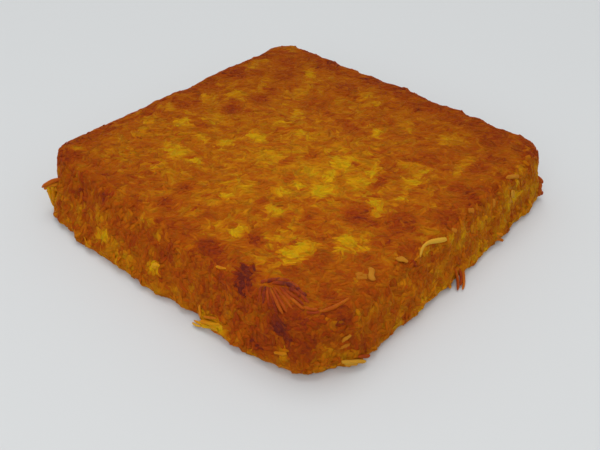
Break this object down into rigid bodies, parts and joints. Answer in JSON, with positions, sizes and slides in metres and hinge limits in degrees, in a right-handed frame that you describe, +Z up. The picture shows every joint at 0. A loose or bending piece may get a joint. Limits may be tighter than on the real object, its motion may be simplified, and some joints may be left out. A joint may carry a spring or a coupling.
{
  "type": "tahdig",
  "caption": "Square slab of crisp-crusted saffron rice, turned out of its pan with the browned crust upwards; rests on its flat underside.",
  "frame": {"origin": "centre of the slab's footprint, on the surface it rests on", "axes": "+Z up through the crust, X and Y along the slab's sides"},
  "size_m": [0.2046, 0.2016, 0.03],
  "materials": {
    "toasted_rice": "toasted orange-brown rice with golden patches, slightly glossy with oil"
  },
  "bodies": {
    "root": {"rice_slab": "toasted_rice"}
  },
  "joints": []
}
